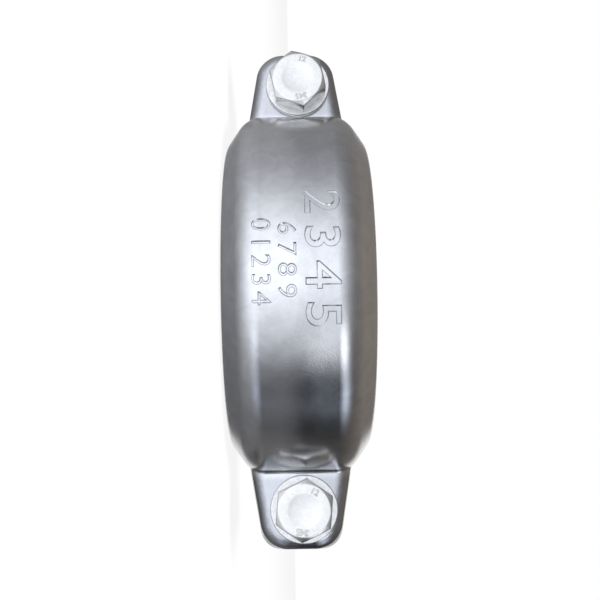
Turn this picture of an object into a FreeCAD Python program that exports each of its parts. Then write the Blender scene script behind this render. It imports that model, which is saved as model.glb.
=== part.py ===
import FreeCAD, Part
import math
import os
from FreeCAD import Vector

# Coupling for a grooved pipe of 88.9 mm outer diameter, sizes in mm and degrees.
# The origin is the middle of the bore. Z is the pipe's axis, X runs from bolt to bolt,
# and the bolts lie along Y with their heads at -Y.

# Pipe and the groove rolled into it
pipe_radius = 44.45
groove_depth = 1.98

# Pressed housing: its rim is a channel round the pipe, with a crown, shoulders and sides
wall = 3.2
rim_rise = 10.85
width = 42.4
shoulder_depth = 6.6
shoulder_slope = 35.0
crown_corner_radius = 8.4
side_corner_radius = 6.0
parting_gap = 0.6

# Ear with its flat pad and its tapered skirt
pad_height = 8.5
ear_step = 5.9
ear_taper = 9.5
ear_end_room = 2.4
ear_corner_radius = 6.6
pad_corner_radius = 9.8
skirt_draft = 5.3
pad_edge_radius = 4.2
crease_radius = 1.0
least_bend = 0.8

# Washers
washer_diameter = 20.0
washer_bore = 10.5
washer_thickness = 2.0
washer_room = 0.3
lock_washer_diameter = 18.1
lock_washer_bore = 10.2
lock_washer_thickness = 2.2
lock_split_width = 1.2
lock_split_slant = 20.0

# Bolts and nuts
bolt_diameter = 10.0
bolt_length = 45.0
bolt_tip_chamfer = 1.0
hole_play = 1.0
hole_extra_length = 2.0
bolt_side_room = 0.25
across_flats = 16.0
head_height = 6.4
nut_height = 8.4
nut_play = 0.05
nut_mouth = 0.5
hex_chamfer = 30.0
hex_face_share = 0.95
head_dish_diameter = 9.6
head_dish_depth = 0.3
left_head_turn = 18.5
right_head_turn = 35.0
left_nut_turn = 8.0
right_nut_turn = 26.0

# Rubber ring in the channel
seal_room = 0.3
seal_squeeze = 0.55
seal_crown = 2.9
seal_side = 4.8
seal_lip_reach = 11.0
seal_lip_tip = 1.3
seal_lip_root = 2.6

# Worked out from the values above
key_radius = pipe_radius - groove_depth
crown_radius = pipe_radius + rim_rise
half_width = width / 2
crown_corner_z = half_width - shoulder_depth
shoulder = math.radians(shoulder_slope)
side_radius = crown_radius - shoulder_depth / math.tan(shoulder)
shoulder_normal = (math.sin(shoulder), math.cos(shoulder))
taper = math.radians(ear_taper)
draft = math.tan(math.radians(skirt_draft))
bolt_x = crown_radius + washer_room + washer_diameter / 2
end_x = bolt_x + washer_diameter / 2 + ear_end_room
end_half_width = half_width - ear_step - (end_x - crown_radius) * math.tan(taper)
bolt_z = hole_play - bolt_side_room
head_y = -pad_height - washer_thickness
nut_y = pad_height + washer_thickness + lock_washer_thickness
overrun = 2 * crown_radius
nudge = 0.001


def inset_corner(corner, normal_a, normal_b, inset):
    """Move a corner of two straight lines inwards, both lines by the same inset."""
    scale = inset / (1 + normal_a[0] * normal_b[0] + normal_a[1] * normal_b[1])
    shift_a = (normal_a[0] + normal_b[0]) * scale
    shift_b = (normal_a[1] + normal_b[1]) * scale
    return (corner[0] - shift_a, corner[1] - shift_b)


def rounded_wire(points, radii):
    """Closed wire through points, with a tangent arc at each corner that has a radius."""
    edges = []
    starts = []
    ends = []
    middles = []
    count = len(points)
    for i in range(count):
        here = points[i]
        to_last = (points[i - 1] - here).normalize()
        to_next = (points[(i + 1) % count] - here).normalize()
        radius = radii[i]
        if radius <= 0:
            starts.append(here)
            ends.append(here)
            middles.append(None)
            continue
        half = to_last.getAngle(to_next) / 2
        reach = radius / math.tan(half)
        inward = (to_last + to_next).normalize()
        starts.append(here + to_last * reach)
        ends.append(here + to_next * reach)
        middles.append(here + inward * (radius / math.sin(half) - radius))
    for i in range(count):
        if middles[i] is not None:
            edges.append(Part.Arc(starts[i], middles[i], ends[i]).toShape())
        following = starts[(i + 1) % count]
        if ends[i].distanceToPoint(following) > nudge:
            edges.append(Part.LineSegment(ends[i], following).toShape())
    return Part.Wire(edges)


def ring(points, radii):
    """Solid of revolution about Z from (radius, height) points."""
    places = [Vector(r, 0, z) for r, z in points]
    face = Part.Face(rounded_wire(places, radii))
    return face.revolve(Vector(0, 0, 0), Vector(0, 0, 1), 360)


def rim_corners(inset):
    """Corners of the rim's section, crown first, with its faces moved in by inset."""
    crown = inset_corner((crown_radius, crown_corner_z), (1, 0), shoulder_normal, inset)
    side = inset_corner((side_radius, half_width), shoulder_normal, (0, 1), inset)
    return crown, side


def body_form(inset):
    """Rim of the coupling as a solid wheel, with its outer faces moved in by inset."""
    crown, side = rim_corners(inset)
    points = [(0, -side[1]), (side[0], -side[1]), (crown[0], -crown[1])]
    points += [(crown[0], crown[1]), (side[0], side[1]), (0, side[1])]
    crown_round = crown_corner_radius - inset
    side_round = side_corner_radius - inset
    return ring(points, [0, side_round, crown_round, crown_round, side_round, 0])


def ear_outline(height, inset):
    """Outline of one ear at a height over the parting plane, its walls moved in by inset."""
    moved = height * draft + inset
    side_normal = (math.sin(taper), math.cos(taper))
    end = inset_corner((end_x, end_half_width), (1, 0), side_normal, moved)
    root_x = key_radius - wall
    root = (root_x, end[1] + (end[0] - root_x) * math.tan(taper))
    points = [(root[0], -root[1]), (end[0], -end[1]), end, root]
    places = [Vector(x, height, z) for x, z in points]
    growth = (pad_corner_radius - ear_corner_radius) * height / pad_height
    corner = ear_corner_radius + growth - inset
    return rounded_wire(places, [0, corner, corner, 0])


def ear_form(inset):
    """One ear as a solid block with drafted walls and a rounded pad edge."""
    top = pad_height - inset
    block = Part.makeLoft([ear_outline(-wall, inset), ear_outline(top, inset)], True, True)
    rim = [e for e in block.Edges if all(v.Point.y > top - nudge for v in e.Vertexes)]
    return block.makeFillet(max(pad_edge_radius - inset, least_bend), rim)


def junction_edges(joined, body, ear):
    """Edges of the joined form that lie on the skin of both the body and the ear."""
    found = []
    for edge in joined.Edges:
        middle = edge.valueAt((edge.FirstParameter + edge.LastParameter) / 2)
        if middle.y < -wall + nudge:
            continue
        spot = Part.Vertex(middle)
        on_body = spot.distToShape(body.Shells[0])[0] < nudge
        on_ear = spot.distToShape(ear.Shells[0])[0] < nudge
        if on_body and on_ear:
            found.append(edge)
    return found


def pressed_form(inset):
    """Solid form of one half with its skin moved in by inset, creases rounded."""
    form = body_form(inset)
    for turn in (0, 180):
        ear = ear_form(inset)
        if turn:
            ear = ear.mirror(Vector(0, 0, 0), Vector(1, 0, 0))
        joined = form.fuse(ear)
        form = joined.makeFillet(crease_radius + inset, junction_edges(joined, form, ear))
    return form


def slot_through(at_x):
    """Long hole for a bolt, right through one pad along Y."""
    half_run = hole_extra_length / 2
    radius = bolt_diameter / 2 + hole_play
    ends = [Vector(at_x - half_run, 0, 0), Vector(at_x + half_run, 0, 0)]
    middle = Part.makeBox(hole_extra_length, overrun, 2 * radius,
                          Vector(at_x - half_run, 0, -radius))
    slot = middle
    for end in ends:
        slot = slot.fuse(Part.makeCylinder(radius, overrun, end, Vector(0, 1, 0)))
    return slot.removeSplitter()


def housing():
    """One pressed half, on the +Y side of the parting plane."""
    shell = pressed_form(0).cut(pressed_form(wall))
    bore = Part.makeCylinder(key_radius, overrun, Vector(0, 0, -overrun / 2))
    shell = shell.cut(bore)
    keep = Part.makeBox(2 * overrun, overrun, overrun,
                        Vector(-overrun, parting_gap / 2, -overrun / 2))
    shell = shell.common(keep)
    for at_x in (-bolt_x, bolt_x):
        shell = shell.cut(slot_through(at_x))
    return shell


def seal():
    """Rubber ring of C section whose two lips lean on the pipe."""
    crown, side = rim_corners(wall + seal_room)
    inner_crown = crown[0] - seal_crown
    inner_side = side[1] - seal_side
    lip_radius = pipe_radius - seal_squeeze
    tip_z = side[1] - seal_lip_reach
    upper = [
        crown,
        side,
        (lip_radius, side[1]),
        (lip_radius, tip_z),
        (lip_radius + seal_lip_tip, tip_z),
        (lip_radius + seal_lip_root, inner_side),
        (inner_crown, inner_side),
    ]
    lower = [(r, -z) for r, z in reversed(upper)]
    radii = [0] * len(upper + lower)
    radii[0] = crown_corner_radius - wall - seal_room
    radii[1] = side_corner_radius - wall - seal_room
    radii[-1] = radii[0]
    radii[-2] = radii[1]
    return ring(upper + lower, radii)


def hexagon(height, turn, base, chamfer_base):
    """Hexagonal prism along +Y whose top corners, and base corners if asked, are chamfered."""
    corner = across_flats / 2 / math.cos(math.pi / 6)
    corners = []
    for i in range(6):
        angle = math.radians(turn + 60 * i)
        corners.append(Vector(corner * math.sin(angle), 0, corner * math.cos(angle)))
    corners.append(corners[0])
    prism = Part.Face(Part.makePolygon(corners)).extrude(Vector(0, height, 0))
    face_radius = hex_face_share * across_flats / 2
    drop = (corner - face_radius) * math.tan(math.radians(hex_chamfer))
    low_radius = face_radius if chamfer_base else corner
    low = drop if chamfer_base else 0
    profile = [Vector(0, 0, 0), Vector(low_radius, 0, 0), Vector(corner, low, 0)]
    profile += [Vector(corner, height - drop, 0), Vector(face_radius, height, 0)]
    profile += [Vector(0, height, 0)]
    outline = []
    for point in profile:
        if not outline or point.distanceToPoint(outline[-1]) > nudge:
            outline.append(point)
    outline.append(outline[0])
    turned = Part.Face(Part.makePolygon(outline)).revolve(Vector(0, 0, 0), Vector(0, 1, 0), 360)
    shape = prism.common(turned)
    shape.translate(Vector(0, base, 0))
    return shape


def bolt(at_x, turn):
    """Hexagon bolt with its head at -Y and its tip at +Y."""
    head = hexagon(head_height, turn, 0, False)
    head = head.mirror(Vector(0, 0, 0), Vector(0, 1, 0))
    dish_radius = head_dish_diameter / 2
    ball = (dish_radius ** 2 + head_dish_depth ** 2) / (2 * head_dish_depth)
    sphere = Part.makeSphere(ball, Vector(0, -head_height - ball + head_dish_depth, 0))
    head = head.cut(sphere)
    radius = bolt_diameter / 2
    shank = Part.makeCylinder(radius, bolt_length - bolt_tip_chamfer, Vector(0, 0, 0),
                              Vector(0, 1, 0))
    tip = Part.makeCone(radius, radius - bolt_tip_chamfer, bolt_tip_chamfer,
                        Vector(0, bolt_length - bolt_tip_chamfer, 0), Vector(0, 1, 0))
    shape = head.fuse([shank, tip]).removeSplitter()
    shape.translate(Vector(at_x, head_y, bolt_z))
    return shape


def nut(at_x, turn):
    """Hexagon nut with a countersink at both ends of its bore."""
    shape = hexagon(nut_height, turn, 0, True)
    radius = bolt_diameter / 2 + nut_play
    along = Vector(0, 1, 0)
    top = Vector(0, nut_height - nut_mouth, 0)
    bore = Part.makeCylinder(radius, nut_height, Vector(0, 0, 0), along)
    mouth = Part.makeCone(radius + nut_mouth, radius, nut_mouth, Vector(0, 0, 0), along)
    far_mouth = Part.makeCone(radius, radius + nut_mouth, nut_mouth, top, along)
    shape = shape.cut([bore, mouth, far_mouth])
    shape.translate(Vector(at_x, nut_y, bolt_z))
    return shape


def washer(at_x, base):
    """Flat washer lying across Y with its low face at base."""
    middle = Vector(at_x, base, bolt_z)
    disc = Part.makeCylinder(washer_diameter / 2, washer_thickness, middle, Vector(0, 1, 0))
    hole = Part.makeCylinder(washer_bore / 2, washer_thickness, middle, Vector(0, 1, 0))
    return disc.cut(hole)


def lock_washer(at_x):
    """Split spring washer, pressed flat, with a slanted cut through one side."""
    base = pad_height + washer_thickness
    middle = Vector(0, base, 0)
    disc = Part.makeCylinder(lock_washer_diameter / 2, lock_washer_thickness, middle,
                             Vector(0, 1, 0))
    hole = Part.makeCylinder(lock_washer_bore / 2, lock_washer_thickness, middle,
                             Vector(0, 1, 0))
    split = Part.makeBox(lock_washer_diameter, 3 * lock_washer_thickness, lock_split_width,
                         Vector(0, base - lock_washer_thickness, -lock_split_width / 2))
    split.rotate(Vector(0, base + lock_washer_thickness / 2, 0), Vector(1, 0, 0),
                 lock_split_slant)
    shape = disc.cut([hole, split])
    if at_x < 0:
        shape.rotate(Vector(0, 0, 0), Vector(0, 1, 0), 180)
    shape.translate(Vector(at_x, 0, bolt_z))
    return shape


def export(name, shape):
    """Write one piece, after checking that it is one whole solid."""
    solid = shape.Solids[0]
    print(name, "valid", solid.isValid(), "solids", len(shape.Solids),
          "volume", round(solid.Volume, 1))
    solid.exportStep("parts/" + name + ".step")


os.makedirs("parts", exist_ok=True)
rear_half = housing()
front_half = rear_half.copy()
front_half.rotate(Vector(0, 0, 0), Vector(0, 0, 1), 180)
export("front_housing", front_half)
export("rear_housing", rear_half)
export("seal_ring", seal())
for side, at_x, head_turn, nut_turn in (
    ("left", -bolt_x, left_head_turn, left_nut_turn),
    ("right", bolt_x, right_head_turn, right_nut_turn),
):
    export(side + "_bolt", bolt(at_x, head_turn))
    export(side + "_head_washer", washer(at_x, head_y))
    export(side + "_nut_washer", washer(at_x, pad_height))
    export(side + "_lock_washer", lock_washer(at_x))
    export(side + "_nut", nut(at_x, nut_turn))
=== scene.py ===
import math

import bmesh
import bpy
from mathutils import Matrix, Vector


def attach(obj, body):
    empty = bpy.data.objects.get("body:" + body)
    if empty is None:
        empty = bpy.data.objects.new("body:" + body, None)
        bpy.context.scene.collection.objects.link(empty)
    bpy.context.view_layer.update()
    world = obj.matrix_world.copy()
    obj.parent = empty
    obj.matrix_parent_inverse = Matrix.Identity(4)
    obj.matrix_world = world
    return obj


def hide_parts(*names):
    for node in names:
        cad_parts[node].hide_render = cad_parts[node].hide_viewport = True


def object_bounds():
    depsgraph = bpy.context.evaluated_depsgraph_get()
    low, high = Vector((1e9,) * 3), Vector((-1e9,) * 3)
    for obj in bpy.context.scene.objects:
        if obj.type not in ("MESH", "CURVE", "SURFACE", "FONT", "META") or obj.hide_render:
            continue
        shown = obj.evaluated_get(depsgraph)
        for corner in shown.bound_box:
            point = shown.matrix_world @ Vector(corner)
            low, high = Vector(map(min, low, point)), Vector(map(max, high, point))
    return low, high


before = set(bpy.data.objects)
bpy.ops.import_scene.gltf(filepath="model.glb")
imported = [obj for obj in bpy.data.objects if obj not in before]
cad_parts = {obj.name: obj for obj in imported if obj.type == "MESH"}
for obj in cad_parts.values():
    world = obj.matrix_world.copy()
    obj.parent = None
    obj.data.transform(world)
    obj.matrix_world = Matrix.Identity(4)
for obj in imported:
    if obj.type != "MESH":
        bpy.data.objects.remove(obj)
cadBox = [list(corner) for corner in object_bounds()]
mm = 0.001
scene = bpy.context.scene
print('frame loaded, nodes:', len(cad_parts))


class Signal:
    # a node's socket that takes part in sums, in shader and geometry trees alike
    def __init__(self, socket):
        self.socket = socket

    def node(self, kind, settings=None, sockets=None, output=0):
        tree = self.socket.id_data
        made = tree.nodes.new(kind)
        for name, value in (settings or {}).items():
            setattr(made, name, value)
        for key, value in (sockets or {}).items():
            place = findSocket(made.inputs, key)
            if isinstance(value, Signal):
                tree.links.new(value.socket, place)
            else:
                place.default_value = value
        return Signal(findSocket(made.outputs, output))

    def maths(self, operation, *others):
        return self.node('ShaderNodeMath', {'operation': operation},
                         dict(enumerate((self, *others))))

    def vector(self, operation, *others, output=0):
        return self.node('ShaderNodeVectorMath', {'operation': operation},
                         dict(enumerate((self, *others))), output)

    def scaled(self, factor):
        return self.node('ShaderNodeVectorMath', {'operation': 'SCALE'},
                         {0: self, 'Scale': factor})

    def __add__(self, other):
        return self.maths('ADD', other)

    def __radd__(self, other):
        return self.node('ShaderNodeMath', {'operation': 'ADD'}, {0: other, 1: self})

    def __sub__(self, other):
        return self.maths('SUBTRACT', other)

    def __rsub__(self, other):
        return self.node('ShaderNodeMath', {'operation': 'SUBTRACT'}, {0: other, 1: self})

    def __mul__(self, other):
        return self.maths('MULTIPLY', other)

    def __rmul__(self, other):
        return self.node('ShaderNodeMath', {'operation': 'MULTIPLY'}, {0: other, 1: self})

    def __truediv__(self, other):
        return self.maths('DIVIDE', other)

    def __rtruediv__(self, other):
        return self.node('ShaderNodeMath', {'operation': 'DIVIDE'}, {0: other, 1: self})

    def __abs__(self):
        return self.maths('ABSOLUTE')


def findSocket(sockets, key):
    if isinstance(key, int):
        return sockets[key]
    for socket in sockets:
        if socket.identifier == key:
            return socket
    return sockets[key]


def noise(place, scale, detail, roughness, distortion=0.0):
    return place.node('ShaderNodeTexNoise', {'noise_dimensions': '3D'},
                      {'Vector': place, 'Scale': scale, 'Detail': detail,
                       'Roughness': roughness, 'Distortion': distortion})


def smooth(value, low, high, start=0.0, end=1.0):
    return value.node('ShaderNodeMapRange', {'interpolation_type': 'SMOOTHSTEP'},
                      {'Value': value, 'From Min': low, 'From Max': high,
                       'To Min': start, 'To Max': end})


def clamped(value):
    return value.maths('MAXIMUM', 0.0).maths('MINIMUM', 1.0)


def blendColours(factor, first, second):
    return factor.node('ShaderNodeMix', {'data_type': 'RGBA'},
                       {'Factor_Float': factor, 'A_Color': first, 'B_Color': second},
                       'Result_Color')


def parts(vector):
    made = vector.node('ShaderNodeSeparateXYZ', None, {'Vector': vector})
    return [Signal(socket) for socket in made.socket.node.outputs]


def newMaterial(name, constants):
    material = bpy.data.materials.new(name)
    material.use_nodes = True
    tree = material.node_tree
    shader = tree.nodes['Principled BSDF']
    for key, value in constants.items():
        shader.inputs[key].default_value = value
    place = Signal(tree.nodes.new('ShaderNodeTexCoord').outputs['Object'])
    return material, shader, place.scaled(1 / mm)      # the place is in millimetres


def feed(shader, signals):
    tree = shader.id_data
    for key, signal in signals.items():
        tree.links.new(signal.socket, shader.inputs[key])


def bump(height):
    # the height is in millimetres
    return height.node('ShaderNodeBump', None,
                       {'Strength': 1.0, 'Distance': mm, 'Height': height}, 'Normal')


housingFinishAndShade = {
    'pale': (0.655, 0.66, 0.675, 1.0),
    'deep': (0.575, 0.58, 0.595, 1.0),
    # noises: scale, detail, roughness, distortion
    'grain': (2.2, 3.0, 0.65),
    'wave': (0.045, 1.0, 0.4),
    'cloud': (0.22, 4.0, 0.6, 0.6),
    'drawn': (1.6, 3.0, 0.6),
    'scratch': (1.0, 2.0, 0.5),
    'streak': (0.35, 3.0, 0.6, 1.2),
    'drawnStretch': (0.10, 0.10, 2.2),
    'scratchStretch': (0.35, 0.35, 6.0),
    'scratchRange': (0.71, 0.76),
    'grainHeight': 0.016,
    'waveHeight': 0.10,
    'drawnHeight': 0.0016,
    'scratchDepth': 0.003,
    'roughness': 0.17,
    'roughnessSpread': 0.06,       # from the clouds and from the grain
    # painted shade: the ears are painted darker than the crown, and darker still on their skirts
    'earPaintedShade': (0.40, 0.41, 0.44, 1.0),
    'earShadeShare': 0.75,
    'earShadeRange': (54.6, 57.5),      # distance from the middle where the ears' painted shade begins
    'skirtPaintedShade': (0.13, 0.13, 0.14, 1.0),
    'skirtShadeShare': 0.65,
    'skirtShadeRange': (5.0, 7.9),      # height over the parting plane where the painted shade ends
    'domeReach': 9.0,
    'domeHeight': 0.50,
}


def makeHousingSteel():
    look = housingFinishAndShade
    material, shader, place = newMaterial('satinSteel', {'Metallic': 1.0, 'IOR': 1.5})
    grain = noise(place, *look['grain'])
    wave = noise(place, *look['wave'])
    cloud = noise(place, *look['cloud'])
    drawn = noise(place.vector('MULTIPLY', look['drawnStretch']), *look['drawn'])
    scratchPlace = place.vector('MULTIPLY', look['scratchStretch'])
    scratches = smooth(noise(scratchPlace, *look['scratch']), *look['scratchRange'])
    colour = blendColours(smooth(cloud, 0.3, 0.7), look['deep'], look['pale'])
    across, deep, axial = parts(place)
    # painted shade: the ears get a darker colour, the shade varied in random streaks
    ears = smooth(abs(across), *look['earShadeRange'])
    shadeStreaks = 0.75 + noise(place, *look['streak']) * 0.5
    colour = blendColours(ears * shadeStreaks * look['earShadeShare'], colour, look['earPaintedShade'])
    # painted shade in the crease: the ears' skirts are painted dark near the parting plane
    skirtShade = ears * smooth(abs(deep), *look['skirtShadeRange'], 1.0, 0.0)
    colour = blendColours(skirtShade * look['skirtShadeShare'], colour, look['skirtPaintedShade'])
    height = grain * look['grainHeight'] + wave * look['waveHeight']
    height = height + drawn * look['drawnHeight'] - scratches * look['scratchDepth']
    # the drawn crown is a little domed from side to side
    reach = (axial / look['domeReach']).maths('TANH')
    height = height - reach * reach * look['domeHeight']
    spread = look['roughnessSpread']
    rough = look['roughness'] + (cloud - 0.5) * spread + (grain - 0.5) * spread
    feed(shader, {'Base Color': colour, 'Roughness': rough, 'Normal': bump(height)})
    return material


boltFinish = {
    'pale': (0.69, 0.685, 0.665, 1.0),
    'deep': (0.63, 0.625, 0.605, 1.0),
    'roughness': 0.20,
}

washerFinish = {
    'pale': (0.74, 0.74, 0.73, 1.0),
    'deep': (0.60, 0.60, 0.59, 1.0),
    'roughness': 0.30,
}

brightSkin = {
    # noises: scale, detail, roughness, distortion
    'grain': (3.4, 3.0, 0.6),
    'patch': (0.6, 4.0, 0.6, 0.8),
    'mark': (1.2, 2.0, 0.5),
    'markStretch': (4.0, 0.6, 0.9),
    'markRange': (0.66, 0.74),
    'grainHeight': 0.005,
    'patchHeight': 0.004,
    'markDepth': 0.004,
    'patchRoughness': 0.08,
    'markRoughness': 0.1,
}


def makeBrightSteel(name, look):
    skin = brightSkin
    material, shader, place = newMaterial(name, {'Metallic': 1.0, 'IOR': 1.5})
    grain = noise(place, *skin['grain'])
    patches = noise(place, *skin['patch'])
    fine = place.vector('MULTIPLY', skin['markStretch'])
    marks = smooth(noise(fine, *skin['mark']), *skin['markRange'])
    colour = blendColours(smooth(patches, 0.35, 0.7), look['deep'], look['pale'])
    height = grain * skin['grainHeight'] + patches * skin['patchHeight']
    height = height - marks * skin['markDepth']
    rough = look['roughness'] + (patches - 0.5) * skin['patchRoughness']
    rough = rough + marks * skin['markRoughness']
    feed(shader, {'Base Color': colour, 'Roughness': rough, 'Normal': bump(height)})
    return material


rubberFinish = {
    'pale': (0.030, 0.030, 0.031, 1.0),
    'deep': (0.016, 0.016, 0.017, 1.0),
    # noises: scale, detail, roughness, distortion
    'skin': (1.9, 4.0, 0.6),
    'bloom': (0.12, 4.0, 0.6, 0.5),
    'skinHeight': 0.02,
    'roughness': 0.62,
    'roughnessSpread': 0.2,
}


def makeRubber():
    look = rubberFinish
    material, shader, place = newMaterial('blackRubber', {'IOR': 1.5, 'Specular IOR Level': 0.4})
    skin = noise(place, *look['skin'])
    bloom = noise(place, *look['bloom'])
    colour = blendColours(smooth(bloom, 0.3, 0.7), look['deep'], look['pale'])
    rough = look['roughness'] + (bloom - 0.5) * look['roughnessSpread']
    feed(shader, {'Base Color': colour, 'Roughness': rough,
                  'Normal': bump(skin * look['skinHeight'])})
    return material


satinSteel = makeHousingSteel()
brightSteel = makeBrightSteel('brightSteel', boltFinish)
washerSteel = makeBrightSteel('washerSteel', washerFinish)
blackRubber = makeRubber()
print('materials made')


def pieceFrom(mesh, name, material):
    mesh.name = name
    mesh.materials.clear()
    mesh.materials.append(material)
    made = bpy.data.objects.new(name, mesh)
    scene.collection.objects.link(made)
    return made


def turnOutwards(form):
    bmesh.ops.recalc_face_normals(form, faces=form.faces)
    if form.calc_volume(signed=True) < 0:
        bmesh.ops.reverse_faces(form, faces=form.faces)


def meshFrom(points, faces, name):
    # points in millimetres, doubles merged and every face turned outwards
    form = bmesh.new()
    verts = [form.verts.new(Vector(point)) for point in points]
    form.verts.ensure_lookup_table()
    for face in faces:
        form.faces.new([verts[i] for i in face])
    bmesh.ops.remove_doubles(form, verts=form.verts, dist=0.0001)
    bmesh.ops.dissolve_degenerate(form, dist=0.0001, edges=form.edges)
    turnOutwards(form)
    bmesh.ops.scale(form, vec=(mm, mm, mm), verts=form.verts)
    mesh = bpy.data.meshes.new(name)
    form.to_mesh(mesh)
    form.free()
    return mesh


def gridFaces(rows, columns, closedRows=False):
    faces = []
    for i in range(rows if closedRows else rows - 1):
        for j in range(columns):
            a, b = i * columns, ((i + 1) % rows) * columns
            k = (j + 1) % columns
            faces.append((a + j, a + k, b + k, b + j))
    return faces


def settled(thing):
    # the evaluated object as a plain mesh
    bpy.context.view_layer.update()
    graph = bpy.context.evaluated_depsgraph_get()
    return bpy.data.meshes.new_from_object(thing.evaluated_get(graph), depsgraph=graph)


def combine(base, tools, operation):
    # boolean of a mesh with the tool meshes, done at a thousand times the size
    grow = Matrix.Scale(1 / mm, 4)
    joined = bmesh.new()
    for mesh in tools:
        joined.from_mesh(mesh)
    toolMesh = bpy.data.meshes.new('tool')
    joined.to_mesh(toolMesh)
    joined.free()
    toolMesh.transform(grow)
    base.transform(grow)
    body = pieceFrom(base, 'body', satinSteel)
    helper = pieceFrom(toolMesh, 'tool', satinSteel)
    change = body.modifiers.new('change', 'BOOLEAN')
    change.operation = operation
    change.solver = 'MANIFOLD'
    change.object = helper
    result = settled(body)
    for old in (body, helper):
        bpy.data.objects.remove(old)
    result.transform(grow.inverted())
    return result


def smoothNormals(mesh, sharpAngle, rule=None):
    # every face corner's normal: an average by area of the faces that meet there
    # without a sharp edge, or the exact one where the piece has a rule for it
    limit = math.cos(math.radians(sharpAngle))
    meeting = [[] for _ in mesh.vertices]
    for face in mesh.polygons:
        for v in face.vertices:
            meeting[v].append((face.normal.copy(), face.area))
    normals = []
    for face in mesh.polygons:
        own = face.normal
        for v in face.vertices:
            normal = rule(mesh.vertices[v].co, own) if rule else None
            if normal is None:
                normal = Vector()
                for other, area in meeting[v]:
                    if other.dot(own) > limit:
                        normal += other * area
                normal = normal.normalized() if normal.length > 0 else own
            normals.append(normal)
    mesh.polygons.foreach_set('use_smooth', [True] * len(mesh.polygons))
    mesh.normals_split_custom_set([tuple(normal) for normal in normals])
    mesh.update()


housing = {
    'crownRadius': 55.3,
    'halfWidth': 21.2,
    'wall': 3.2,
    'shoulderDepth': 6.6,
    'shoulderSlope': 35.0,
    'crownRound': 8.4,
    'sideRound': 6.0,
    'sharpAngle': 38.0,
    # a point this near the crown's end, a turned skin or a digit's floor lies on it
    'crownSlack': 0.002,
    'skinSlack': 0.02,
    'floorSlack': 0.03,
    'facing': 0.97,            # least cosine between the face and the exact normal
}

digits = {
    'depth': 0.46,
    'slope': 0.28,             # how far each wall of a digit leans over its height
    'above': 0.8,              # how far a punch stands out of the crown
    'slice': 0.9,              # width of the strips in which a punch is bent
    'rows': [
        # text, middle along the crown, pitch, height, foot of the digits in z, stroke, stretch
        ('2345', -1.4, 10.25, 9.5, 1.85, 0.45, 1.16),
        ('6789', -0.7, 5.55, 5.0, -5.35, 0.15, 1.14),
        ('01234', -0.3, 4.95, 5.3, -12.35, 0.15, 1.04),
    ],
}

capitalHeight = 0.729          # of Blender's own font at size 1


def arcCentres():
    # centres of the crown's and the side's corner arcs, as radius and height
    look = housing
    slope = math.radians(look['shoulderSlope'])
    crownZ = look['halfWidth'] - look['shoulderDepth']
    sideRadius = look['crownRadius'] - look['shoulderDepth'] / math.tan(slope)
    crownReach = look['crownRound'] * math.tan((math.pi / 2 - slope) / 2)
    sideReach = look['sideRound'] * math.tan(slope / 2)
    return ((look['crownRadius'] - look['crownRound'], crownZ - crownReach),
            (sideRadius - sideReach, look['halfWidth'] - look['sideRound']))


crownArc, sideArc = arcCentres()


def rimNormal(co, faceNormal):
    # exact normal of the turned rim at a point, or None elsewhere
    look = housing
    r = math.hypot(co.x, co.y) / mm
    z = abs(co.z) / mm
    turn = math.radians(90 - look['shoulderSlope'])
    v = (r - crownArc[0], z - crownArc[1])
    w = (r - sideArc[0], z - sideArc[1])
    if v[1] <= look['crownSlack']:
        n = (1.0, 0.0)
        depth = look['crownRadius'] - r
    elif v[0] > 0 and math.atan2(v[1], v[0]) <= turn:
        n = (v[0] / math.hypot(*v), v[1] / math.hypot(*v))
        depth = look['crownRound'] - math.hypot(*v)
    elif w[0] > 0 and math.atan2(w[1], w[0]) <= turn:
        n = (math.cos(turn), math.sin(turn))
        depth = look['crownRound'] - (v[0] * n[0] + v[1] * n[1])
    else:
        return None
    radial = Vector((co.x, co.y, 0)).normalized()
    normal = radial * n[0] + Vector((0, 0, math.copysign(n[1], co.z)))
    if normal.dot(faceNormal) < 0:
        normal = -normal
    onSkin = min(abs(depth), abs(depth - look['wall'])) < look['skinSlack']
    onFloor = abs(depth - digits['depth']) < look['floorSlack']
    if (onSkin or onFloor) and normal.dot(faceNormal) > look['facing']:
        return normal
    return None


def digitTool(char, middle, height, foot, stroke, stretch):
    # one digit as a tapered punch, bent round the crown
    look = digits
    text = bpy.data.curves.new('digit', 'FONT')
    text.body = char
    text.size = height / capitalHeight
    text.align_x = 'CENTER'
    text.extrude = (look['depth'] + look['above']) / 2 - look['slope']
    text.bevel_depth = look['slope']
    text.bevel_resolution = 0
    text.offset = stroke / 2 - look['slope']
    text.resolution_u = 8
    made = bpy.data.objects.new('digit', text)
    scene.collection.objects.link(made)
    flat = settled(made)
    bpy.data.objects.remove(made)
    form = bmesh.new()
    form.from_mesh(flat)
    bmesh.ops.remove_doubles(form, verts=form.verts, dist=0.0005)
    edge = max(abs(v.co.x) for v in form.verts)
    at = -edge
    while at < edge:
        bmesh.ops.bisect_plane(form, geom=form.verts[:] + form.edges[:] + form.faces[:],
                               dist=0.0001, plane_co=(at, 0, 0), plane_no=(1, 0, 0))
        at += look['slice']
    bmesh.ops.triangulate(form, faces=form.faces)
    for v in form.verts:
        x, y, z = v.co
        z += (look['above'] - look['depth']) / 2
        angle = (middle + x * stretch) / housing['crownRadius']
        radius = housing['crownRadius'] + z
        v.co = Vector((radius * math.sin(angle), -radius * math.cos(angle), foot + y))
    turnOutwards(form)
    bmesh.ops.scale(form, vec=(mm, mm, mm), verts=form.verts)
    mesh = bpy.data.meshes.new('digit')
    form.to_mesh(mesh)
    form.free()
    return mesh


def mergedCopy(node):
    form = bmesh.new()
    form.from_mesh(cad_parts[node].data)
    bmesh.ops.remove_doubles(form, verts=form.verts, dist=0.0005 * mm)
    mesh = bpy.data.meshes.new(node)
    form.to_mesh(mesh)
    form.free()
    return mesh


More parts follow.
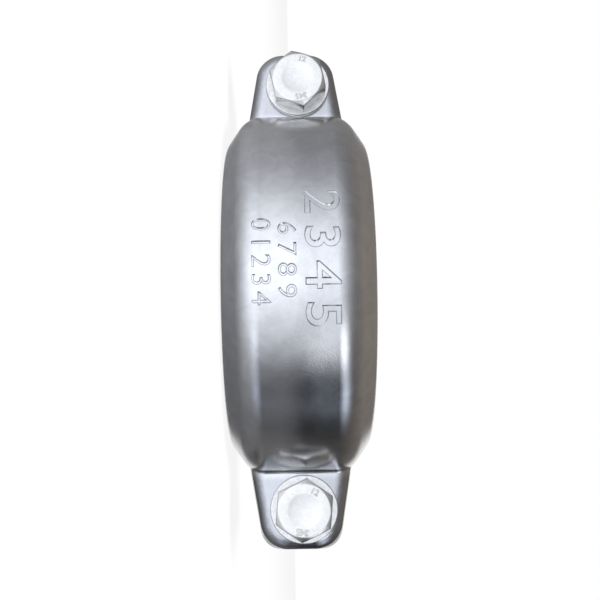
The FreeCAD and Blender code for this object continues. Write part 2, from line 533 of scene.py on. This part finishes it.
def makeHousing(node, body, name, tools):
    mesh = mergedCopy(node)
    if tools:
        mesh = combine(mesh, tools, 'DIFFERENCE')
    smoothNormals(mesh, housing['sharpAngle'], rimNormal)
    made = pieceFrom(mesh, name, satinSteel)
    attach(made, body)
    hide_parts(node)
    print(name, 'faces', len(mesh.polygons))


punches = []
for text, middle, pitch, height, foot, stroke, stretch in digits['rows']:
    for i, char in enumerate(text):
        at = middle + (i - (len(text) - 1) / 2) * pitch
        punches.append(digitTool(char, at, height, foot, stroke, stretch))
makeHousing('front_housing', 'front', 'housing_front', punches)
makeHousing('rear_housing', 'rear', 'housing_rear', [])


hardware = {
    # both bolts, sizes in millimetres along X, Z and the bolts' own Y
    'boltX': 65.6,
    'boltZ': 0.75,
    'headUnder': -10.5,
    'headHeight': 6.4,
    'flats': 16.0,
    'cornerRound': 0.45,
    'faceShare': 0.95,
    'chamfer': 30.0,
    'dishDepth': 0.3,
    # radius and share of the depth, from the middle to the dish's rim
    'dish': ((0.0, 1.0), (1.2, 0.96), (2.6, 0.80), (3.8, 0.50), (4.4, 0.26), (4.8, 0.1),
             (5.15, 0.0)),
    'rimInside': 0.25,         # rings on either side of the edge between face and chamfer
    'rimOutside': 0.05,
    'rimDrop': 0.04,
    'edgeRound': 0.16,
    'shank': 10.0,
    'tip': 34.5,
    'root': 1.0,               # how far the rod reaches into the head
    'threadLength': 26.0,
    'pitch': 1.5,
    'columns': 48,
    'rowsPerPitch': 12,
    'sharpAngle': 32.0,
    'turns': {'left': 18.5, 'right': 35.0},
}


def hexCorner(flats, rounding):
    # distance of a corner's arc centre, and the angle at which the arc meets the flat
    centre = (flats / 2 - rounding) / math.cos(math.pi / 6)
    return centre, math.atan2(rounding / 2, centre + rounding * math.cos(math.pi / 6))


def hexRadius(angle, flats, rounding):
    # radius of a hexagon with rounded corners, the angle from a corner
    delta = abs((angle + math.pi / 6) % (math.pi / 3) - math.pi / 6)
    centre, tangent = hexCorner(flats, rounding)
    if delta < tangent:
        return centre * math.cos(delta) + math.sqrt(
            rounding ** 2 - (centre * math.sin(delta)) ** 2)
    return flats / 2 / math.cos(math.pi / 6 - delta)


def hexAngles(flats, rounding):
    tangent = hexCorner(flats, rounding)[1]
    rest = (math.pi / 3 - 2 * tangent) / 8
    angles = []
    for i in range(6):
        start = i * math.pi / 3
        angles += [start - tangent, start - tangent / 2, start, start + tangent / 2]
        angles += [start + tangent + rest * k for k in range(8)]
    return angles


def around(x, z, radius, angle, y):
    return (x + radius * math.sin(angle), y, z + radius * math.cos(angle))


def ring(x, angles, radius, y, turn):
    return [around(x, hardware['boltZ'], radius, a + turn, y) for a in angles]


def chamferRings(x, angles, rounding, end, sign, turn):
    # three rings over the edge between the chamfer and the flats, the last on the flats
    look = hardware
    edge = look['edgeRound']
    face = look['faceShare'] * look['flats'] / 2
    slope = math.tan(math.radians(look['chamfer']))
    rings = []
    for inset, share in ((edge, 0.0), (edge * 0.3, 0.35), (0.0, 1.0)):
        points = []
        for a in angles:
            radius = hexRadius(a, look['flats'], rounding)
            y = end + sign * ((radius - inset - face) * slope + share * edge)
            points.append(around(x, look['boltZ'], radius - inset, a + turn, y))
        rings.append(points)
    return rings


def headMesh(x, turn):
    look = hardware
    under = look['headUnder']
    top = under - look['headHeight']
    face = look['faceShare'] * look['flats'] / 2
    edge = look['edgeRound']
    angles = hexAngles(look['flats'], look['cornerRound'])
    rings = [ring(x, angles, radius, top + look['dishDepth'] * share, turn)
             for radius, share in look['dish']]
    rings.append(ring(x, angles, face - look['rimInside'], top, turn))
    rings.append(ring(x, angles, face + look['rimOutside'], top + look['rimDrop'], turn))
    rings += chamferRings(x, angles, look['cornerRound'], top, 1, turn)
    for inset, up in ((0.0, edge), (edge * 0.3, edge * 0.3), (edge, 0.0)):
        rings.append([around(x, look['boltZ'],
                             hexRadius(a, look['flats'], look['cornerRound']) - inset,
                             a + turn, under - up) for a in angles])
    for radius in (4.0, 0.0):
        rings.append(ring(x, angles, radius, under, turn))
    points = [point for row in rings for point in row]
    return meshFrom(points, gridFaces(len(rings), len(angles)), 'head')


thread = {
    # shares of the pitch
    'crest': 0.125,
    'flank': 0.625,
    'depth': 0.6134,
    'runOut': 1.6,
    'slack': 0.06,             # how much the plain shank is thinner, in millimetres
    'tip': 0.95,               # share of the depth that the tip's chamfer takes
}


def threadTree():
    # a rod on the Y axis with a rolled thread at its far end, as one closed skin
    tree = bpy.data.node_groups.new('rolledThread', 'GeometryNodeTree')
    tree.interface.new_socket('Geometry', in_out='OUTPUT', socket_type='NodeSocketGeometry')
    names = {}
    for name, kind, value in (
        ('Radius', 'NodeSocketFloat', 5.0), ('Start', 'NodeSocketFloat', 0.0),
        ('End', 'NodeSocketFloat', 40.0), ('Thread length', 'NodeSocketFloat', 26.0),
        ('Pitch', 'NodeSocketFloat', 1.5), ('Columns', 'NodeSocketInt', 48),
        ('Rows', 'NodeSocketInt', 300), ('Middle', 'NodeSocketVector', (0.0, 0.0, 0.0)),
        ('Material', 'NodeSocketMaterial', None),
    ):
        socket = tree.interface.new_socket(name, in_out='INPUT', socket_type=kind)
        if value is not None:
            socket.default_value = value
        names[name] = socket.identifier
    given = tree.nodes.new('NodeGroupInput')
    got = {name: Signal(given.outputs[name]) for name in names}
    radius, start, end = got['Radius'], got['Start'], got['End']
    grid = radius.node('GeometryNodeMeshGrid', None,
                       {'Size X': 1.0, 'Size Y': 1.0, 'Vertices X': got['Columns'] + 1,
                        'Vertices Y': got['Rows']}, 'Mesh')
    u, v, _ = parts(radius.node('GeometryNodeInputPosition'))
    u = u + 0.5
    v = v + 0.5
    count = got['Rows'] - 1
    row = (v * count).maths('ROUND')
    # first and last rows close the ends, the others run evenly from end to end
    share = clamped((row - 1) / (count - 2))
    along = start + share * (end - start)
    phase = (along / got['Pitch'] + u).maths('FRACT')
    wave = abs(phase * 2 - 1)
    flank = clamped((wave - thread['crest']) / thread['flank'])
    threadStart = end - got['Thread length']
    runOut = clamped((along - threadStart) / (got['Pitch'] * thread['runOut']))
    depth = got['Pitch'] * thread['depth']
    plain = radius - thread['slack']
    rolled = radius - flank * depth
    mixed = plain + (rolled - plain) * runOut
    chamfer = radius - depth * thread['tip'] + (end - along)
    wide = mixed.maths('MINIMUM', chamfer)
    wide = wide * (row.maths('GREATER_THAN', 0.5) * row.maths('LESS_THAN', count - 0.5))
    angle = u * (2 * math.pi)
    flatX = wide * angle.maths('SINE')
    flatZ = wide * angle.maths('COSINE')
    place = radius.node('ShaderNodeCombineXYZ', None, {'X': flatX, 'Y': along, 'Z': flatZ})
    place = place.vector('ADD', got['Middle']).scaled(mm)
    formed = radius.node('GeometryNodeSetPosition', None,
                         {'Geometry': grid, 'Position': place})
    sealed = radius.node('GeometryNodeMergeByDistance', None,
                         {'Geometry': formed, 'Distance': 0.001 * mm})
    whole = radius.node('GeometryNodeRealizeInstances', None, {'Geometry': sealed})
    dressed = radius.node('GeometryNodeSetMaterial', None,
                          {'Geometry': whole, 'Material': got['Material']})
    out = tree.nodes.new('NodeGroupOutput')
    tree.links.new(dressed.socket, out.inputs['Geometry'])
    return tree, names


def grownMesh(tree, names, values):
    # run a tree on an empty object and keep its plain mesh
    holder = bpy.data.objects.new('holder', bpy.data.meshes.new('holder'))
    scene.collection.objects.link(holder)
    growth = holder.modifiers.new('growth', 'NODES')
    growth.node_group = tree
    for name, value in values.items():
        growth[names[name]] = value
    mesh = settled(holder)
    holder.modifiers.remove(growth)
    bpy.data.objects.remove(holder)
    return mesh


headMarks = {
    'height': 1.75,
    'raised': 0.15,
    'slope': 0.13,
    'radius': 6.2,
    'bold': -0.03,
    'sharpAngle': 30.0,
    'words': (('12', -95.0), ('345', 62.0)),       # text and angle round the face
}


def makeHeadMarks(side, x):
    # plain raised numbers on the rim of a bolt's face
    look = headMarks
    face = hardware['headUnder'] - hardware['headHeight']
    form = bmesh.new()
    for word, angle in look['words']:
        text = bpy.data.curves.new('mark', 'FONT')
        text.body = word
        text.size = look['height'] / capitalHeight
        text.align_x = 'CENTER'
        text.extrude = look['raised'] - look['slope']
        text.bevel_depth = look['slope']
        text.bevel_resolution = 0
        text.offset = look['bold']
        text.resolution_u = 4
        made = bpy.data.objects.new('mark', text)
        scene.collection.objects.link(made)
        flat = settled(made)
        bpy.data.objects.remove(made)
        a = math.radians(angle) + math.radians(hardware['turns'][side])
        out = Vector((math.sin(a), 0, math.cos(a)))
        along = Vector((math.cos(a), 0, -math.sin(a)))
        for v in flat.vertices:
            reach = look['radius'] + v.co.y - look['height'] / 2
            spot = out * reach + along * v.co.x
            v.co = Vector((x + spot.x, face - v.co.z, hardware['boltZ'] + spot.z)) * mm
        form.from_mesh(flat)
    bmesh.ops.remove_doubles(form, verts=form.verts, dist=0.002 * mm)
    bmesh.ops.scale(form, vec=(1 / mm, 1 / mm, 1 / mm), verts=form.verts)
    turnOutwards(form)
    bmesh.ops.scale(form, vec=(mm, mm, mm), verts=form.verts)
    mesh = bpy.data.meshes.new('marks')
    form.to_mesh(mesh)
    form.free()
    smoothNormals(mesh, look['sharpAngle'])
    made = pieceFrom(mesh, side + '_bolt_marks', brightSteel)
    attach(made, side + '_bolt')


rodTree, rodNames = threadTree()


def makeBolt(side, x):
    look = hardware
    start = look['headUnder'] - look['root']
    rows = int((look['tip'] - start) / look['pitch'] * look['rowsPerPitch'])
    rod = grownMesh(rodTree, rodNames, {
        'Radius': look['shank'] / 2, 'Start': start, 'End': look['tip'],
        'Thread length': look['threadLength'], 'Pitch': look['pitch'],
        'Columns': look['columns'], 'Rows': rows, 'Middle': (x, 0.0, look['boltZ']),
        'Material': brightSteel})
    form = bmesh.new()
    form.from_mesh(rod)
    turnOutwards(form)
    form.to_mesh(rod)
    form.free()
    mesh = combine(headMesh(x, math.radians(look['turns'][side])), [rod], 'UNION')
    smoothNormals(mesh, look['sharpAngle'])
    made = pieceFrom(mesh, side + '_bolt_formed', brightSteel)
    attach(made, side + '_bolt')
    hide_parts(side + '_bolt')
    print(made.name, 'faces', len(mesh.polygons))


washers = {
    'flat': {'outer': 10.0, 'bore': 5.25, 'thick': 2.0, 'round': 0.35},
    'lock': {'outer': 9.05, 'bore': 5.1, 'thick': 2.2, 'round': 0.2,
             'split': 1.2, 'slant': 20.0},
    'boreRound': 0.6,          # the rounding at the bore, as a share of the outer one
    'columns': 96,
    'sharpAngle': 40.0,
    'onRearPad': 8.5,          # where the flat and the lock washer under a nut begin
    'underNut': 10.5,
}


def turnedSection(look, base):
    # closed outline of a washer's section, corners rounded
    low, high = base, base + look['thick']
    inner, outer, big = look['bore'], look['outer'], look['round']
    small = big * washers['boreRound']
    corners = [(outer - big, low + big, big, -90), (outer - big, high - big, big, 0),
               (inner + small, high - small, small, 90),
               (inner + small, low + small, small, 180)]
    outline = []
    for x, y, size, begin in corners:
        for step in range(5):
            a = math.radians(begin + step * 22.5)
            outline.append((x + size * math.cos(a), y + size * math.sin(a)))
    return outline


def makeWasher(node, body, x, base):
    columns = washers['columns']
    outline = turnedSection(washers['flat'], base)
    angles = [2 * math.pi * j / columns for j in range(columns)]
    points = []
    for radius, y in outline:
        points += ring(x, angles, radius, y, 0.0)
    mesh = meshFrom(points, gridFaces(len(outline), columns, True), node)
    smoothNormals(mesh, washers['sharpAngle'])
    made = pieceFrom(mesh, node + '_formed', washerSteel)
    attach(made, body)
    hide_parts(node)


def makeLockWasher(side, x):
    look = washers['lock']
    node = side + '_lock_washer'
    base = washers['underNut']
    outline = turnedSection(look, base)
    columns = washers['columns']
    middleY = base + look['thick'] / 2
    slant = math.tan(math.radians(look['slant']))
    start = math.pi / 2 if x > 0 else -math.pi / 2
    sign = 1 if x > 0 else -1
    points = []
    for radius, y in outline:
        lean = (y - middleY) * slant * sign
        for j in range(columns):
            share = j / (columns - 1)
            gapA = math.asin((look['split'] / 2 + lean) / radius)
            gapB = math.asin((look['split'] / 2 - lean) / radius)
            a = start + gapA + share * (2 * math.pi - gapA - gapB)
            points.append(around(x, hardware['boltZ'], radius, a, y))
    rows = len(outline)
    faces = []
    for i in range(rows):
        for j in range(columns - 1):
            a, b = i * columns, ((i + 1) % rows) * columns
            faces.append((a + j, a + j + 1, b + j + 1, b + j))
    faces.append([i * columns for i in range(rows)])
    faces.append([i * columns + columns - 1 for i in range(rows)])
    mesh = meshFrom(points, faces, node)
    smoothNormals(mesh, washers['sharpAngle'])
    made = pieceFrom(mesh, node + '_formed', washerSteel)
    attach(made, side + '_washers')
    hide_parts(node)


nuts = {
    'height': 8.4,
    'base': 12.7,
    'bore': 5.05,
    'mouth': 0.5,
    'cornerRound': 0.45,
    'rimInside': 0.2,
    'turns': {'left': 8.0, 'right': 26.0},
}


def makeNut(side, x):
    look = nuts
    low, high = look['base'], look['base'] + look['height']
    face = hardware['faceShare'] * hardware['flats'] / 2
    rim, drop = face + hardware['rimOutside'], hardware['rimDrop']
    wideMouth = look['bore'] + look['mouth']
    angles = hexAngles(hardware['flats'], look['cornerRound'])
    turn = math.radians(look['turns'][side])
    rings = [ring(x, angles, radius, y, turn) for radius, y in (
        (look['bore'], low + look['mouth']), (wideMouth, low),
        (face - look['rimInside'], low), (rim, low + drop))]
    rings += chamferRings(x, angles, look['cornerRound'], low, 1, turn)
    rings += chamferRings(x, angles, look['cornerRound'], high, -1, turn)[::-1]
    rings += [ring(x, angles, radius, y, turn) for radius, y in (
        (rim, high - drop), (face - look['rimInside'], high),
        (wideMouth, high), (look['bore'], high - look['mouth']))]
    points = [point for row in rings for point in row]
    mesh = meshFrom(points, gridFaces(len(rings), len(angles), True), side + '_nut')
    smoothNormals(mesh, hardware['sharpAngle'])
    made = pieceFrom(mesh, side + '_nut_formed', brightSteel)
    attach(made, side + '_nut')
    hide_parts(side + '_nut')


for side, x in (('left', -hardware['boltX']), ('right', hardware['boltX'])):
    makeBolt(side, x)
    makeHeadMarks(side, x)
    makeWasher(side + '_head_washer', 'front', x, hardware['headUnder'])
    makeWasher(side + '_nut_washer', side + '_washers', x, washers['onRearPad'])
    makeLockWasher(side, x)
    makeNut(side, x)
print('bolts, washers and nuts made')


sealRing = {'sharpAngle': 35.0}


def makeSeal():
    mesh = mergedCopy('seal_ring')
    smoothNormals(mesh, sealRing['sharpAngle'])
    made = pieceFrom(mesh, 'rubber_ring', blackRubber)
    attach(made, 'front')
    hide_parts('seal_ring')
    print('rubber ring made')


makeSeal()


studio = {
    'floorSize': 24.0,
    'floorColour': (0.86, 0.86, 0.86, 1.0),
    'floorWhiteForCamera': 0.88,
    'floorWhiteForGloss': 0.05,
    'floorClearForGloss': 0.90,
    'backdropWidth': 24.0,
    'backdropEdge': 0.06,
    'base': (0.024, 0.022, 0.020),
    'lobes': [
        # degrees towards photo top and right, half width in degrees, strength, colour
        (6, -19, 42, 1.95, (0.93, 0.97, 1.05)),
        (-43, -24, 11.5, 0.95, (0.90, 0.96, 1.10)),
        (-46, 20, 12, 3.2, (0.96, 0.98, 1.04)),
        (-72, -16, 11, 1.6, (0.80, 0.93, 1.18)),
        (-78, 19, 12, 2.1, (0.86, 0.95, 1.12)),
        (121, -28, 50, 0.27, (0.97, 0.99, 1.05)),
        (177, 62, 42, 0.20, (1.16, 1.0, 0.84)),
    ],
    # darker patches: the same angles and width, and the share of light that they take away
    'shades': [(-95, 0, 13, 0.80), (-69, -2, 29, 0.96)],
    # the lamp: towards photo top and right, distance and size in metres, watts
    'overhead': (10, 70, 1.4, 1.1, 26.0),
}


def heading(up, right):
    # direction of a light: degrees from the camera's side towards -X and towards +Z
    up, right = math.radians(up), math.radians(right)
    return (-math.sin(up) * math.cos(right), -math.cos(up) * math.cos(right), math.sin(right))


def lobe(way, up, right, width):
    # a soft round patch of light: 1 in its middle, a half at its width in degrees
    sharp = math.log(2) / (1 - math.cos(math.radians(width)))
    facing = way.vector('DOT_PRODUCT', heading(up, right), output='Value')
    return ((facing - 1) * sharp).maths('EXPONENT')


def rayKinds(tree):
    # 1 for a camera's ray, and 1 for a ray that gloss or glass has sent on
    path = tree.nodes.new('ShaderNodeLightPath')
    seen, glossy, through = [Signal(path.outputs[name]) for name in
                             ('Is Camera Ray', 'Is Glossy Ray', 'Is Transmission Ray')]
    return seen, glossy + through


def makeWorld():
    world = bpy.data.worlds.new('studio')
    scene.world = world
    world.use_nodes = True
    tree = world.node_tree
    tree.nodes.clear()
    way = Signal(tree.nodes.new('ShaderNodeTexCoord').outputs['Generated'])
    light = None
    for up, right, width, strength, colour in studio['lobes']:
        glow = lobe(way, up, right, width) * strength
        tinted = glow.node('ShaderNodeVectorMath', {'operation': 'SCALE'},
                           {0: colour, 'Scale': glow})
        light = tinted if light is None else light.vector('ADD', tinted)
    light = light.vector('ADD', studio['base'])
    for up, right, width, strength in studio['shades']:
        light = light.scaled(1 - lobe(way, up, right, width) * strength)
    seen, sent = rayKinds(tree)
    behind = way.vector('DOT_PRODUCT', (0.0, 1.0, 0.0), output='Value')
    wide, edge = math.cos(math.radians(studio['backdropWidth'])), studio['backdropEdge']
    white = clamped(seen + sent * smooth(behind, wide - edge, wide + edge))
    colour = blendColours(white, light, (1.0, 1.0, 1.0, 1.0))
    shown = way.node('ShaderNodeBackground', None, {'Color': colour, 'Strength': 1.0})
    out = tree.nodes.new('ShaderNodeOutputWorld')
    tree.links.new(shown.socket, out.inputs['Surface'])


def makeFloor():
    half = studio['floorSize'] / 2
    low = cadBox[0][2]
    mesh = bpy.data.meshes.new('floor')
    mesh.from_pydata([(-half, -half, low), (half, -half, low), (half, half, low),
                      (-half, half, low)], [], [(0, 1, 2, 3)])
    material = bpy.data.materials.new('paleFloor')
    material.use_nodes = True
    tree = material.node_tree
    tree.nodes.clear()
    seen, sent = rayKinds(tree)
    share = seen * studio['floorWhiteForCamera'] + sent * studio['floorWhiteForGloss']
    matt = seen.node('ShaderNodeBsdfDiffuse', None, {'Color': studio['floorColour']})
    white = seen.node('ShaderNodeEmission', None, {'Color': (1, 1, 1, 1), 'Strength': 1.0})
    clear = seen.node('ShaderNodeBsdfTransparent', None, {'Color': (1, 1, 1, 1)})
    mixed = seen.node('ShaderNodeMixShader', None, {0: share, 1: matt, 2: white})
    opened = sent * studio['floorClearForGloss']
    mixed = seen.node('ShaderNodeMixShader', None, {0: opened, 1: mixed, 2: clear})
    out = tree.nodes.new('ShaderNodeOutputMaterial')
    tree.links.new(mixed.socket, out.inputs['Surface'])
    made = pieceFrom(mesh, 'floor', material)


def makeLamp(name, up, right, distance, size, power):
    data = bpy.data.lights.new(name, 'AREA')
    data.shape = 'DISK'
    data.size = size
    data.energy = power
    lamp = bpy.data.objects.new(name, data)
    scene.collection.objects.link(lamp)
    way = Vector(heading(up, right))
    lamp.location = way * distance
    lamp.rotation_mode = 'QUATERNION'
    lamp.rotation_quaternion = way.to_track_quat('Z', 'Y')
    lamp.visible_glossy = False


camera = {
    'focal': 56.97,
    'sensor': 36.0,
    'distance': 300.0,
    'turn': 8.87,          # round the pipe's axis
    'tilt': -0.43,
    'roll': 0.84,
    'towardsRight': 0.57,
    'towardsFoot': 1.53,
    'near': 0.01,
    'far': 20.0,
}


def makeCamera():
    look = camera
    turn, tilt, roll = [math.radians(look[key]) for key in ('turn', 'tilt', 'roll')]
    across = Vector((math.cos(turn), math.sin(turn), 0))
    level = Vector((math.sin(turn), -math.cos(turn), 0))
    axis = Vector((0, 0, 1)) * math.cos(tilt) - level * math.sin(tilt)
    back = Vector((0, 0, 1)) * math.sin(tilt) + level * math.cos(tilt)
    right = across * math.sin(roll) + axis * math.cos(roll)
    down = across * math.cos(roll) - axis * math.sin(roll)
    spot = back * look['distance'] + right * look['towardsRight'] + down * look['towardsFoot']
    data = bpy.data.cameras.new('camera')
    data.sensor_width = look['sensor']
    data.lens = look['focal']
    data.clip_start = look['near']
    data.clip_end = look['far']
    made = bpy.data.objects.new('camera', data)
    scene.collection.objects.link(made)
    made.rotation_mode = 'QUATERNION'
    made.rotation_quaternion = Matrix((right, -down, back)).transposed().to_quaternion()
    made.location = spot * mm
    scene.camera = made


makeWorld()
makeFloor()
makeLamp('overhead', *studio['overhead'])
makeCamera()
scene.view_settings.view_transform = 'Standard'
print('floor, light and camera made')
